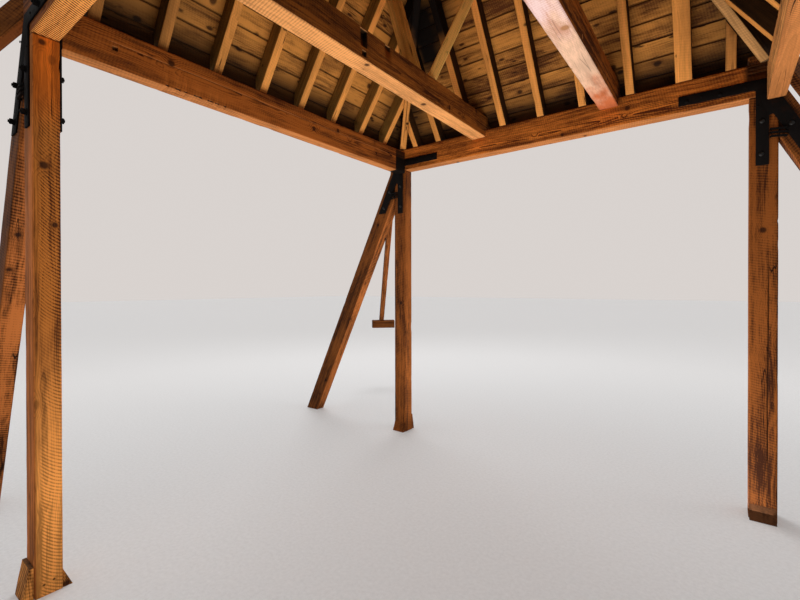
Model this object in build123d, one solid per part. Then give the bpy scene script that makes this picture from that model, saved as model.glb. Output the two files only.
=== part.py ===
from build123d import *

import os
from math import cos, radians, sqrt, tan

# Exposed timber roof frame of an attic room: a square bay of four posts between two braced
# trusses, with cogged cross beams, side plates and a boarded hipped roof on top.
#
# Millimetres, +Z up. The origin is on the floor at the middle of the post square.
# +X runs along the trusses, +Y runs from the front truss to the rear truss.

# Post square and posts
BAY_X = 3100.0            # post centre to post centre, along a truss
BAY_Y = 3100.0            # truss centre to truss centre
POST_X = 155.0            # post face across the truss
POST_Y = 115.0            # thickness shared by posts, ties and raking struts
POST_TENON = 60.0         # tenon height in the tie
POST_TENON_X = 90.0
POST_TENON_Y = 36.0
EDGE_WANE = 5.0           # worn arris on the big timbers

# Tie beams, one to each truss, lying on the posts
TIE_UNDER = 2865.0
TIE_DEPTH = 227.0

# Side plates, framed between the trusses
PLATE_DROP = 34.0         # side plates sit this much lower than the ties
PLATE_DEPTH = 227.0
PLATE_THICK = 100.0
PLATE_SET_LEFT = 0.0      # inner face of the left plate, out from the posts' inner faces
PLATE_SET_RIGHT = 92.0    # the right plate stands further out
MORTISE_SIDE = 26.0       # empty mortise in the left plate
MORTISE_DEEP = 60.0
MORTISE_FROM_END = 240.0
MORTISE_UP = 112.0

# Cross beams, cogged down over both ties
BEAM_X = 583.0            # beam centre from the middle of the bay
BEAM_WIDTH = 145.0
BEAM_DEPTH = 205.0
COG_DEPTH = 68.0          # how far a beam is let down into the tie
COG_SHOULDER = 14.0       # the beam's end is this much narrower inside the cog

# Raking struts in the plane of each truss
STRUT_PITCH = 63.4        # degrees from level
STRUT_DEPTH = 175.0
STRUT_UP = 105.0          # where the strut's back meets the post, above the tie's underside

# Lower hips, running out and down at the roof's pitch from the ties' ends to a seat block
LOWER_HIP_WIDTH = 66.0
LOWER_HIP_DEPTH = 115.0
LOWER_HIP_SET = 85.0      # hip line at the tie's end, inside the outer face of the truss
LOWER_HIP_LAP = 14.0      # how far the hip's underside meets the tie's end below its top
SEAT_LEVEL = 1060.0
SEAT_LENGTH = 350.0
SEAT_WIDTH = 180.0
SEAT_THICK = 118.0
SEAT_SHIFT = 28.0         # middle of the block, along it from the hip's centre line

# Hipped roof above the ring
PITCH = 55.0
ROOF_LEFT = 1510.0        # rafter underside at the level of the tie top, from the middle
ROOF_RIGHT = 1571.0
RAFTER_WIDTH = 62.0
RAFTER_DEPTH = 115.0
TRIMMER_WIDTH = 105.0     # wider rafter on the end slopes
HIP_WIDTH = 66.0
HIP_DROP = 26.0           # hip underside below the rafters' underside
RIDGE_THICK = 40.0
RIDGE_DEPTH = 240.0
DECK_THICK = 20.0
END_SPACING = 357.0       # rafters on the front and rear slopes
END_SHIFT = 24.0
END_COUNT = 7
END_JACKS = (-1338.0, 1372.0)  # short jacks beside the hips
SIDE_SPACING = 361.0      # rafters on the left and right slopes
SIDE_SHIFT = -68.0
SIDE_COUNT = 8

# Iron straps on both faces of each truss corner
STRAP_THICK = 8.0
STRAP_WIDTH = 70.0
STRAP_RAKE_WIDTH = 86.0
STRAP_UP = 81.0           # centre line of the level leg, above the tie's underside
STRAP_REACH = 488.0       # level leg, in from the post's centre line
STRAP_DROP = 465.0        # end of the upright leg, below the tie's underside
STRAP_RAKE_DROP = 445.0   # end of the raking leg, below the tie's underside
STRAP_CURVE = 14.0        # hollow curves where the legs meet
STRAP_SET = 8.0           # upright leg, in from the post's centre line

# Wedge cleats nailed against the foot of each post
CLEAT_HEIGHT = 100.0
CLEAT_OUT = 42.0
CLEAT_WIDTH = 146.0
OUTER_CLEAT_HEIGHT = 165.0
OUTER_CLEAT_OUT = 48.0
OUTER_CLEAT_TOP = 20.0

PLAY = 0.3                # clearance where curved or let-in pieces seat

# Props of the rear left corner, from the left cross beam up to a rafter on each side of the hip
PROP_SIDE = 80.0
PROP_FOOT_X = -571.0
PROP_FOOT_Y = 631.0
PROP_HEAD_IN = 614.0      # head in from the rear slope's foot, measured along Y
PROP_PAST_COUNT = 3       # rear rafters to the left of the one that it meets
WIDE_PROP_WIDTH = 118.0
WIDE_PROP_DEPTH = 70.0
WIDE_PROP_FOOT_X = -572.0
WIDE_PROP_FOOT_Y = 400.0
WIDE_PROP_HEAD_IN = 654.0  # head in from the left slope's foot, measured along X
WIDE_PROP_PAST_COUNT = 5  # left rafters in front of the one that it meets

# Levels and faces that follow from the sizes above
HALF_X = BAY_X / 2
HALF_Y = BAY_Y / 2
POST_OUT_X = HALF_X + POST_X / 2
POST_IN_X = HALF_X - POST_X / 2
TRUSS_OUT = HALF_Y + POST_Y / 2
TRUSS_IN = HALF_Y - POST_Y / 2
TIE_TOP = TIE_UNDER + TIE_DEPTH
PLATE_UNDER = TIE_UNDER - PLATE_DROP
PLATE_TOP = PLATE_UNDER + PLATE_DEPTH
PLATE_END = TRUSS_IN - STRAP_THICK
PLATE_LEFT_IN = POST_IN_X + PLATE_SET_LEFT
PLATE_RIGHT_IN = POST_IN_X + PLATE_SET_RIGHT
BEAM_UNDER = TIE_TOP - COG_DEPTH
BEAM_TOP = BEAM_UNDER + BEAM_DEPTH
STRUT_RISE = tan(radians(STRUT_PITCH))
STRUT_TOP = TIE_UNDER + STRUT_UP
LOWER_HIP_START = TIE_TOP - LOWER_HIP_LAP
STRAP_LEVEL = TIE_UNDER + STRAP_UP
STRAP_BOTTOM = TIE_UNDER - STRAP_DROP
STRAP_RAKE_END = TIE_UNDER - STRAP_RAKE_DROP
SLOPE = tan(radians(PITCH))
HIP_FALL = SLOPE / sqrt(2)    # of a hip, for each unit along it in plan
LOWER_HIP_PLUMB = LOWER_HIP_DEPTH * sqrt(1 + HIP_FALL ** 2)
RAFTER_RISE = RAFTER_DEPTH / cos(radians(PITCH))
DECK_RISE = DECK_THICK / cos(radians(PITCH))
RIDGE_LEFT = ROOF_LEFT - TRUSS_IN
RIDGE_RIGHT = ROOF_RIGHT - TRUSS_IN
RIDGE_UNDERSIDE = TIE_TOP + SLOPE * TRUSS_IN
REACH = 2 * RIDGE_UNDERSIDE   # longer than any piece, for cutting

CORNERS = {"rear_left": (-1, 1), "rear_right": (1, 1), "front_left": (-1, -1), "front_right": (1, -1)}


def block(x_range, y_range, z_range):
    """A squared timber between two values on each axis."""
    sizes = [high - low for low, high in (x_range, y_range, z_range)]
    middle = [(high + low) / 2 for low, high in (x_range, y_range, z_range)]
    return Pos(*middle) * Box(*sizes)


def worn(timber, axis):
    """Break the long arrises of a timber that runs along the axis."""
    return chamfer(timber.edges().filter_by(axis), EDGE_WANE)


def mirrored(shape, x_side, y_side):
    """Carry a piece modelled for the +X, +Y corner to another corner."""
    if x_side < 0:
        shape = mirror(shape, Plane.YZ)
    if y_side < 0:
        shape = mirror(shape, Plane.XZ)
    return shape


def plan_prism(points, z_low=0.0, z_high=REACH):
    """A prism over a plan outline."""
    return extrude(Plane.XY.offset(z_low) * make_face(Polyline(*points, close=True)), z_high - z_low)


def truss_plate(outline, y_from, thickness):
    """A flat piece in the plane of a truss, from an outline in X and Z."""
    face = make_face(Polyline(*[(x, 0, z) for x, z in outline], close=True))
    return Pos(0, y_from, 0) * extrude(face, thickness, dir=(0, 1, 0))


def post():
    """A post with a tenon that stands in the tie above it."""
    body = worn(block((POST_IN_X, POST_OUT_X), (TRUSS_IN, TRUSS_OUT), (0, TIE_UNDER)), Axis.Z)
    tenon = Pos(HALF_X, HALF_Y, TIE_UNDER + POST_TENON / 2) * Box(POST_TENON_X, POST_TENON_Y, POST_TENON)
    return body + tenon


def tenon_pocket(x_side):
    """The mortise in the tie for the head of one post."""
    size = [POST_TENON_X + 2 * PLAY, POST_TENON_Y + 2 * PLAY, POST_TENON + PLAY]
    return Pos(x_side * HALF_X, HALF_Y, TIE_UNDER + size[2] / 2) * Box(*size)


def tie_beam():
    """The rear tie, trenched for both cross beams and mortised for its posts."""
    tie = worn(block((-POST_OUT_X, POST_OUT_X), (TRUSS_IN, TRUSS_OUT), (TIE_UNDER, TIE_TOP)), Axis.X)
    for side in (-1, 1):
        tie -= tenon_pocket(side)
        trench_half = BEAM_WIDTH / 2 - COG_SHOULDER
        tie -= block((side * BEAM_X - trench_half, side * BEAM_X + trench_half),
                     (TRUSS_IN - PLAY, TRUSS_OUT + PLAY), (BEAM_UNDER, TIE_TOP + PLAY))
    return tie


def cross_beam(x_side, under_deck):
    """A beam over both ties, its ends narrowed to drop into their trenches and cut to the roof slope."""
    x_low = x_side * BEAM_X - BEAM_WIDTH / 2
    x_high = x_low + BEAM_WIDTH
    beam = block((x_low, x_high), (-TRUSS_OUT, TRUSS_OUT), (BEAM_UNDER, BEAM_TOP))
    beam = worn(beam, Axis.Y)
    for end in (-1, 1):
        reach = sorted((end * TRUSS_IN, end * (TRUSS_OUT + PLAY)))
        beam -= block((x_low - PLAY, x_low + COG_SHOULDER), reach, (BEAM_UNDER - PLAY, TIE_TOP))
        beam -= block((x_high - COG_SHOULDER, x_high + PLAY), reach, (BEAM_UNDER - PLAY, TIE_TOP))
    return beam & under_deck


def side_plate(x_side, inner_face):
    """A plate framed between the two trusses, its ends against the straps."""
    x_range = sorted((x_side * inner_face, x_side * (inner_face + PLATE_THICK)))
    plate = worn(block(x_range, (-PLATE_END, PLATE_END), (PLATE_UNDER, PLATE_TOP)), Axis.Y)
    if x_side < 0:
        mouth = Pos(-inner_face - MORTISE_DEEP / 2, MORTISE_FROM_END - PLATE_END, PLATE_UNDER + MORTISE_UP)
        plate -= mouth * Box(MORTISE_DEEP, MORTISE_SIDE, MORTISE_SIDE)
    return plate


def raking_strut():
    """A strut from the floor to the head of the post, in the plane of the truss."""
    slant = sqrt(1 + STRUT_RISE ** 2)
    drop = STRUT_DEPTH * slant
    outline = [(POST_OUT_X, STRUT_TOP), (POST_OUT_X, STRUT_TOP - drop),
               (POST_OUT_X + (STRUT_TOP - drop) / STRUT_RISE, 0), (POST_OUT_X + STRUT_TOP / STRUT_RISE, 0)]
    return truss_plate(outline, TRUSS_IN, POST_Y)


def lower_hip():
    """A hip at the roof's pitch and 45 degrees in plan, from the end of the tie to its seat block."""
    line_start = Vector(POST_OUT_X, TRUSS_OUT - LOWER_HIP_SET, LOWER_HIP_START)
    plane = Plane(origin=line_start, x_dir=(1, 1, 0), z_dir=(1, -1, 0))
    back, out = -LOWER_HIP_WIDTH, REACH / 4
    side = [(run, level - HIP_FALL * run)
            for run, level in ((back, 0), (out, 0), (out, LOWER_HIP_PLUMB), (back, LOWER_HIP_PLUMB))]
    timber = extrude(plane * make_face(Polyline(*side, close=True)), LOWER_HIP_WIDTH / 2, both=True)
    return timber & block((POST_OUT_X, REACH), (TRUSS_IN, REACH), (SEAT_LEVEL, REACH))


def seat_block():
    """The block under the foot of a lower hip."""
    foot = (LOWER_HIP_START - SEAT_LEVEL + LOWER_HIP_PLUMB / 2) / HIP_FALL / sqrt(2)
    middle = Pos(POST_OUT_X + foot, TRUSS_OUT - LOWER_HIP_SET + foot, SEAT_LEVEL - SEAT_THICK / 2)
    return middle * Rot(0, 0, 45) * Pos(0, SEAT_SHIFT, 0) * Box(SEAT_WIDTH, SEAT_LENGTH, SEAT_THICK)


def strap_plate():
    """A three-legged iron plate: one leg down the post, one along the tie, one down the strut."""
    inner, outer = HALF_X - STRAP_SET - STRAP_WIDTH / 2, HALF_X - STRAP_SET + STRAP_WIDTH / 2
    top, under = STRAP_LEVEL + STRAP_WIDTH / 2, STRAP_LEVEL - STRAP_WIDTH / 2
    slant = sqrt(1 + STRUT_RISE ** 2)
    middle_drop = STRUT_DEPTH / 2 * slant
    half = STRAP_RAKE_WIDTH / 2 * slant / STRUT_RISE
    axis_at_top = POST_OUT_X + (STRUT_TOP - middle_drop - top) / STRUT_RISE
    axis_at_end = POST_OUT_X + (STRUT_TOP - middle_drop - STRAP_RAKE_END) / STRUT_RISE
    fork = top - (outer - axis_at_top + half) * STRUT_RISE
    outline = [(HALF_X - STRAP_REACH, under), (HALF_X - STRAP_REACH, top),
               (axis_at_top + half, top), (axis_at_end + half, STRAP_RAKE_END),
               (axis_at_end - half, STRAP_RAKE_END), (outer, fork),
               (outer, STRAP_BOTTOM), (inner, STRAP_BOTTOM), (inner, under)]
    plate = truss_plate(outline, 0, STRAP_THICK)
    hollows = []
    for x, z in ((inner, under), (outer, fork)):
        corner = Vector(x, STRAP_THICK / 2, z)
        hollows.append(plate.edges().filter_by(Axis.Y).sort_by_distance(corner)[0])
    return fillet(hollows, STRAP_CURVE)


def foot_cleats():
    """A wedge against the inner side of a post's foot and a taller one against the outer side."""
    wedge = Polyline((0, 0), (CLEAT_OUT, 0), (0, CLEAT_HEIGHT), close=True)
    inner = extrude(Plane.YZ * make_face(wedge), CLEAT_WIDTH / 2, both=True)
    tall = Polyline((0, 0), (OUTER_CLEAT_OUT, 0), (OUTER_CLEAT_TOP, OUTER_CLEAT_HEIGHT),
                    (0, OUTER_CLEAT_HEIGHT), close=True)
    outer = extrude(Plane.YZ * make_face(tall), CLEAT_WIDTH / 2, both=True)
    return [Pos(HALF_X, TRUSS_IN, 0) * mirror(inner, Plane.XZ), Pos(HALF_X, TRUSS_OUT, 0) * outer]


def roof_mass(rise):
    """Everything under the four roof planes, each lifted straight up by the given rise."""
    base = TIE_TOP - RAFTER_RISE * 2
    out = (TIE_TOP + rise - base) / SLOPE
    half_y = TRUSS_IN + out
    left, right = ROOF_LEFT + out, ROOF_RIGHT + out
    across = Polyline((-half_y, base), (half_y, base), (0, base + SLOPE * half_y), close=True)
    peak = ((right - left) / 2, base + SLOPE * (left + right) / 2)
    along = Polyline((-left, base), (right, base), peak, close=True)
    ends = extrude(Plane.YZ * make_face(across), REACH / 2, both=True)
    sides = extrude(Plane.XZ * make_face(along), REACH / 2, both=True)
    return ends & sides


def slope_plan(name):
    """Plan outline of one roof slope, out past the eaves."""
    out = REACH / 4
    left, right = -RIDGE_LEFT, RIDGE_RIGHT
    reach_y = TRUSS_IN + out
    rear_left, rear_right = (-(ROOF_LEFT + out), reach_y), (ROOF_RIGHT + out, reach_y)
    front_left, front_right = (-(ROOF_LEFT + out), -reach_y), (ROOF_RIGHT + out, -reach_y)
    plans = {"rear": [rear_left, rear_right, (right, 0), (left, 0)],
             "front": [front_left, front_right, (right, 0), (left, 0)],
             "left": [front_left, rear_left, (left, 0)],
             "right": [front_right, rear_right, (right, 0)]}
    return plans[name]


def hip_strip(corner):
    """Plan strip of one hip rafter, from outside its corner to the ridge."""
    x_side, y_side = CORNERS[corner]
    ridge_x = x_side * (RIDGE_RIGHT if x_side > 0 else RIDGE_LEFT)
    length = TRUSS_OUT * sqrt(2) * 2
    angle = 45 * y_side if x_side > 0 else 180 - 45 * y_side
    strip = Pos(length / 2, 0, REACH / 2) * Box(length, HIP_WIDTH, REACH)
    strip = Pos(ridge_x, 0, 0) * Rot(0, 0, angle) * strip
    half_plane = sorted((y_side * RIDGE_THICK / 2, y_side * REACH))
    return strip & block((-REACH, REACH), half_plane, (0, REACH))


def ridge_zone():
    """Space taken by the ridge board."""
    tail = HIP_WIDTH / sqrt(2) + RIDGE_THICK / 2
    return block((-RIDGE_LEFT - tail, RIDGE_RIGHT + tail), (-RIDGE_THICK / 2, RIDGE_THICK / 2), (0, REACH))


def end_rafter_places():
    """Centre and width of each rafter on the front and rear slopes."""
    first = END_SHIFT - END_COUNT // 2 * END_SPACING
    places = [(first + index * END_SPACING, RAFTER_WIDTH) for index in range(END_COUNT - 1)]
    places.append((first + (END_COUNT - 1) * END_SPACING, TRIMMER_WIDTH))
    return sorted(places + [(centre, RAFTER_WIDTH) for centre in END_JACKS])


def side_rafter_places():
    """Centre and width of each rafter on the left and right slopes."""
    first = SIDE_SHIFT - (SIDE_COUNT - 1) / 2 * SIDE_SPACING
    return [(first + index * SIDE_SPACING, RAFTER_WIDTH) for index in range(SIDE_COUNT)]


def rafters(name, shell, hips):
    """All rafters of one slope: level feet on the ring, plumb noses, compound cuts at the hips."""
    slope = shell & plan_prism(slope_plan(name))
    slope -= hips + ridge_zone()
    if name in ("rear", "front"):
        side = 1 if name == "rear" else -1
        slope &= block((-REACH, REACH), sorted((0, side * TRUSS_OUT)), (TIE_TOP, REACH))
        strips = [block((centre - width / 2, centre + width / 2), (-REACH, REACH), (0, REACH))
                  for centre, width in end_rafter_places()]
    else:
        side, inner = (1, PLATE_RIGHT_IN) if name == "right" else (-1, PLATE_LEFT_IN)
        slope &= block(sorted((0, side * (inner + PLATE_THICK))), (-REACH, REACH), (PLATE_TOP, REACH))
        strips = [block((-REACH, REACH), (centre - width / 2, centre + width / 2), (0, REACH))
                  for centre, width in side_rafter_places()]
    pieces = []
    for strip in strips:
        pieces += (slope & strip).solids()
    return pieces


def hip_rafter(corner, under_deck):
    """A hip with a level foot on the tie and a back bevelled to both slopes."""
    x_side, y_side = CORNERS[corner]
    ridge_x = x_side * (RIDGE_RIGHT if x_side > 0 else RIDGE_LEFT)
    length = REACH / 3
    angle = 45 * y_side if x_side > 0 else 180 - 45 * y_side
    below = Polyline((-length, -REACH), (length, -REACH), (length, -HIP_FALL * length),
                     (-length, HIP_FALL * length), close=True)
    under = extrude(Plane.XZ * make_face(below), REACH / 4, both=True)
    under = Pos(ridge_x, 0, RIDGE_UNDERSIDE - HIP_DROP) * Rot(0, 0, angle) * under
    hip = hip_strip(corner) & under_deck
    hip = (hip - under) & block((-POST_OUT_X, POST_OUT_X), (-TRUSS_OUT, TRUSS_OUT), (TIE_TOP, REACH))
    return hip


def ridge_board(under_deck):
    """The short board between the heads of the four hips."""
    return ridge_zone() & under_deck & block((-REACH, REACH), (-REACH, REACH),
                                             (RIDGE_UNDERSIDE + RAFTER_RISE - RIDGE_DEPTH, REACH))


def slanted(foot, head, width, depth):
    """A squared timber on the line between two points, run on past both of them."""
    line = Vector(*head) - Vector(*foot)
    middle = (Vector(*head) + Vector(*foot)) / 2
    across = Vector(0, 0, 1).cross(line)
    return Plane(origin=middle, x_dir=across, z_dir=line) * Box(width, depth, line.length * 2)


def corner_props(under_rafters):
    """Two props on the left cross beam, their heads cut to the slopes they carry."""
    rear_x = end_rafter_places()[PROP_PAST_COUNT][0]
    narrow = slanted((PROP_FOOT_X, PROP_FOOT_Y, BEAM_TOP),
                     (rear_x, TRUSS_IN - PROP_HEAD_IN, TIE_TOP + SLOPE * PROP_HEAD_IN),
                     PROP_SIDE, PROP_SIDE)
    side_y = side_rafter_places()[WIDE_PROP_PAST_COUNT][0]
    wide = slanted((WIDE_PROP_FOOT_X, WIDE_PROP_FOOT_Y, BEAM_TOP),
                   (-ROOF_LEFT + WIDE_PROP_HEAD_IN, side_y, TIE_TOP + SLOPE * WIDE_PROP_HEAD_IN),
                   WIDE_PROP_WIDTH, WIDE_PROP_DEPTH)
    room = under_rafters & block((-REACH, REACH), (0, REACH), (BEAM_TOP, REACH))
    return [narrow & room, wide & room]


def deck(name, over, under):
    """The boarding of one slope, mitred at the hips and cut off over the ring's outer faces."""
    eaves = block((-POST_OUT_X, POST_OUT_X), (-TRUSS_OUT, TRUSS_OUT), (PLATE_TOP, REACH))
    if name == "right":
        eaves += block((0, PLATE_RIGHT_IN + PLATE_THICK), (-TRUSS_IN, TRUSS_IN), (PLATE_TOP, REACH))
    return (over - under) & plan_prism(slope_plan(name)) & eaves


def build():
    """Every sub-part by name."""
    parts = {}
    for corner, (x_side, y_side) in CORNERS.items():
        parts[f"post_{corner}"] = mirrored(post(), x_side, y_side)
        parts[f"raking_strut_{corner}"] = mirrored(raking_strut(), x_side, y_side)
        parts[f"lower_hip_{corner}"] = mirrored(lower_hip(), x_side, y_side)
        parts[f"hip_seat_{corner}"] = mirrored(seat_block(), x_side, y_side)
        plates = [Pos(0, TRUSS_OUT, 0) * strap_plate(), Pos(0, TRUSS_IN - STRAP_THICK, 0) * strap_plate()]
        parts[f"iron_straps_{corner}"] = Compound([mirrored(plate, x_side, y_side) for plate in plates])
        cleats = [mirrored(cleat, x_side, y_side) for cleat in foot_cleats()]
        parts[f"foot_cleats_{corner}"] = Compound(cleats)

    parts["tie_beam_rear"] = tie_beam()
    parts["tie_beam_front"] = mirror(tie_beam(), Plane.XZ)
    parts["side_plate_left"] = side_plate(-1, PLATE_LEFT_IN)
    parts["side_plate_right"] = side_plate(1, PLATE_RIGHT_IN)

    under_rafters = roof_mass(0)
    under_deck = roof_mass(RAFTER_RISE)
    over_deck = roof_mass(RAFTER_RISE + DECK_RISE)
    parts["cross_beam_left"] = cross_beam(-1, under_deck)
    parts["cross_beam_right"] = cross_beam(1, under_deck)
    shell = under_deck - under_rafters
    hip_strips = hip_strip("rear_left")
    for corner in list(CORNERS)[1:]:
        hip_strips += hip_strip(corner)
    for corner in CORNERS:
        parts[f"hip_rafter_{corner}"] = hip_rafter(corner, under_deck)
    for name in ("rear", "front", "left", "right"):
        parts[f"rafters_{name}"] = Compound(rafters(name, shell, hip_strips))
        parts[f"roof_boarding_{name}"] = deck(name, over_deck, under_deck)
    parts["ridge_board"] = ridge_board(under_deck)
    parts["corner_props"] = Compound(corner_props(under_rafters))
    return parts


os.makedirs("parts", exist_ok=True)
for node, shape in build().items():
    export_step(shape, f"parts/{node}.step")
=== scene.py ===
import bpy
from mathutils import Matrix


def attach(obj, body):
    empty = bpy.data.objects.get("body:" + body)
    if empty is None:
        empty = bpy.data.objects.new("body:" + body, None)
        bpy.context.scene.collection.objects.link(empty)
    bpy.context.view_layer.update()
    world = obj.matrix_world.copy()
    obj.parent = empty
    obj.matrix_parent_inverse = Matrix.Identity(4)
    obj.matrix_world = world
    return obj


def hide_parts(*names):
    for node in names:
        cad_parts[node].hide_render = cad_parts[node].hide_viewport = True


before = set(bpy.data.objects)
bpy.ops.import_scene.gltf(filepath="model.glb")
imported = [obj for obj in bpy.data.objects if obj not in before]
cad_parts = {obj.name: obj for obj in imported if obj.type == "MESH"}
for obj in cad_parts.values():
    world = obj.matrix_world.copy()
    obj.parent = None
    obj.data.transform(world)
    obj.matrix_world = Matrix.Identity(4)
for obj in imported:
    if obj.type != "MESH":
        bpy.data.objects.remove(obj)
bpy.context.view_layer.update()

import random
from math import cos, pi, radians, sin, tan

import bmesh
import bpy
from bmesh.types import BMEdge, BMFace, BMVert
from bpy.props import FloatProperty, FloatVectorProperty, IntProperty, PointerProperty
from mathutils import Matrix, Vector, noise

bl_info = {
    "name": "Exposed timber roof frame",
    "version": (1, 0, 0),
    "blender": (4, 5, 0),
    "location": "3D View > Sidebar > Roof frame",
    "description": "Weathered timbers, boards and ironwork around the packed roof frame",
    "category": "Object",
}

CORNERS = {"rear_left": (-1, 1), "rear_right": (1, 1), "front_left": (-1, -1), "front_right": (1, -1)}
X, Y, Z = Vector((1, 0, 0)), Vector((0, 1, 0)), Vector((0, 0, 1))
PITCH = radians(55)
TRUSS_IN, TRUSS_OUT = 1.4925, 1.6075
TIE_TOP = 3.092
STRAP_OUT = 0.008
RIDGE_LEFT, RIDGE_RIGHT = -0.0175, 0.0785
BOARDS_OUT, BOARDS_OUT_RIGHT = 1.6275, 1.6645
PLATE_IN_LEFT, PLATE_IN_RIGHT, PLATE_FOOT, TIE_FOOT = -1.4725, 1.5645, 2.831, 2.865
BEAM_IN_LEFT = -0.5105
# The left plate is painted dark to the rear of this, a painted shade behind the post's head.
PLATE_SHADED_FROM = 1.325  # the left plate is dark to the rear of this
STRUT_RAKE = radians(63.4)
RAFTER_RISE = 0.115 / cos(PITCH)
RIDGE_SEAM = 2.75  # no course starts further up the slope than this
BOARD_PLAY = 0.0008  # what a board's end or mitre stands back
# Up-slope direction in plan, and distance of the slope's foot from the middle
SLOPES = {
    "rear": (Vector((0, -1, 0)), 1.4925),
    "front": (Vector((0, 1, 0)), 1.4925),
    "left": (Vector((1, 0, 0)), 1.510),
    "right": (Vector((-1, 0, 0)), 1.571),
}
# Rafter centres along the eaves, which the boards' butt joints lie over
RAFTERS_X = (-1.338, -1.047, -0.690, -0.333, 0.024, 0.381, 0.738, 1.095, 1.372)
RAFTERS_Y = (-1.3315, -0.9705, -0.6095, -0.2485, 0.1125, 0.4735, 0.8345, 1.1955)
# The camera as solved from the frame's own edges: place, then pitch, yaw and roll, then lens and shift
CAMERA_PLACE, CAMERA_TURN = (1.3239, -2.1978, 1.576), (-0.0053, 0.6303, -0.0013)
SENSOR, FOCAL_PIXELS, PICTURE_PIXELS, CAMERA_SHIFT = 36.0, 422.88, 800, (-0.0166, -0.0122)
# How uneven the faces are, how far a bite reaches from its middle, and the flat strips beside a crack
UNEVEN, BITE_REACH, CRACK_SIDE = 0.0012, 0.03, 0.003
# Where the roof is painted black for shade: centre, radius and how black. The first is between the corner
# props.
PAINTED_SHADE_SPOTS = [((-0.90, 1.04, 3.98), 0.42, 1.0), ((1.75, 1.20, 3.45), 0.78, 0.85), ((-0.95, 0.95, 4.7), 0.55, 0.7),
        ((-1.55, -1.25, 3.35), 0.75, 0.55), ((-0.91, 1.14, 3.80), 0.27, 1.0)]
# Knots that the photograph shows: place and half width
NEAR_KNOTS = [(-1.4725, -1.562, 2.206, 0.020), (-1.4725, -1.567, 2.830, 0.016),
              (-1.4725, -1.519, 1.905, 0.014), (-1.4725, -1.571, 0.059, 0.006),
              (-1.4725, -1.531, 0.068, 0.006)]
POST_KNOTS = [(-1.536, 1.4925, 1.411, 0.020), (1.547, 1.4925, 1.963, 0.020)]
PLATE_KNOTS = [(-1.4725, -0.94, 2.99, 0.022), (-1.4725, 0.21, 2.93, 0.018), (0.72, 1.4925, 2.99, 0.020)]
STRUT_KNOTS = [(-1.869, 1.4925, 2.300, 0.016)]
BEAM_KNOTS = [(-0.540, -0.150, 3.024, 0.018), (-0.580, 0.552, 3.024, 0.022), (0.615, 0.212, 3.024, 0.026)]


# Colours as they look in sRGB. Light and dark are the two ends of a timber's shade, and under is a face that
# looks down, painted lighter for the light from below.
COLOURS = {
    "post_light": (0.58, 0.32, 0.12),
    "post_dark": (0.24, 0.11, 0.03),
    "near_light": (0.68, 0.40, 0.15),
    "near_dark": (0.28, 0.13, 0.035),
    "near_foot": (0.95, 0.62, 0.30),
    "near_head": (0.90, 0.46, 0.12),
    # Painted light: the near post's face turned to the front.
    "near_edge": (0.95, 0.55, 0.26),
    "cleat_light": (0.42, 0.26, 0.15),
    "tie_light": (0.92, 0.53, 0.20),
    "tie_dark": (0.34, 0.15, 0.05),
    "frame_light": (0.68, 0.37, 0.13),
    "frame_dark": (0.25, 0.11, 0.03),
    "frame_under": (0.82, 0.51, 0.27),
    "sawn_under": (1.0, 0.65, 0.32),
    "waney_light": (1.0, 0.68, 0.38),
    "strut_light": (0.55, 0.31, 0.12),
    "strut_dark": (0.23, 0.11, 0.03),
    "strut_under": (0.75, 0.43, 0.20),
    "beam_light": (0.64, 0.37, 0.13),
    "beam_dark": (0.27, 0.13, 0.04),
    "beam_under": (0.94, 0.64, 0.37),
    "beam_pale": (0.93, 0.80, 0.77),
    "beam_blush": (0.80, 0.56, 0.46),
    "beam_cream": (0.97, 0.78, 0.64),
    "beam_stain": (0.80, 0.43, 0.25),
    # Rafters: undersides painted lit, sides painted in shade, and the left slope's sides painted lit.
    "rafter_light": (0.97, 0.64, 0.31),
    "rafter_side": (0.28, 0.17, 0.065),
    "olive_side": (0.60, 0.44, 0.20),
    "prop_light": (1.0, 0.77, 0.41),
    "prop_under": (1.0, 0.74, 0.40),
    "hip_under": (0.82, 0.60, 0.36),
    "board_light": (0.83, 0.55, 0.25),
    "board_dark": (0.35, 0.19, 0.075),
    "end_grain": (0.36, 0.27, 0.19),
    "iron": (0.06, 0.043, 0.035),
    "bolt": (0.15, 0.14, 0.13),
    "floor": (0.82, 0.825, 0.83),
    "backdrop": (0.85, 0.825, 0.81),
}
# What each length is, its value, its least and its greatest, in metres
LENGTHS = {
    "ring": ("Growth ring spacing", 0.0065, 0.002, 0.02),
    "saw_pitch": ("Saw mark spacing", 0.018, 0.005, 0.05),
    "wane": ("Wear of the arrises", 0.002, 0.0, 0.01),
    "course": ("Width of a board course", 0.132, 0.08, 0.2),
    "board_gap": ("Gap between boards", 0.0055, 0.001, 0.012),
    "bolt_head": ("Bolt head diameter", 0.030, 0.015, 0.06),
}


def colour(key):
    """A colour property from the table, held in linear light."""
    linear = [((c + 0.055) / 1.055) ** 2.4 if c > 0.04045 else c / 12.92 for c in COLOURS[key]]
    name = key.replace("_", " ").capitalize()
    return FloatVectorProperty(name=name, description=f"{name} as the eye sees it", subtype="COLOR",
                               size=3, min=0, max=1, default=linear)


def size(key):
    """A length property from the table."""
    name, metres, low, high = LENGTHS[key]
    return FloatProperty(name=name, description=f"{name} in metres", default=metres, min=low, max=high,
                         subtype="DISTANCE", unit="LENGTH", precision=4)


class RoofFrameLooks(bpy.types.PropertyGroup):
    """Sizes and colours of the visual model."""

    seed: IntProperty(name="Seed", description="Start of the random numbers", default=11, min=0)
    __annotations__.update({key: colour(key) for key in COLOURS})
    __annotations__.update({key: size(key) for key in LENGTHS})


def looks():
    return bpy.context.scene.roof_frame_looks


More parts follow.
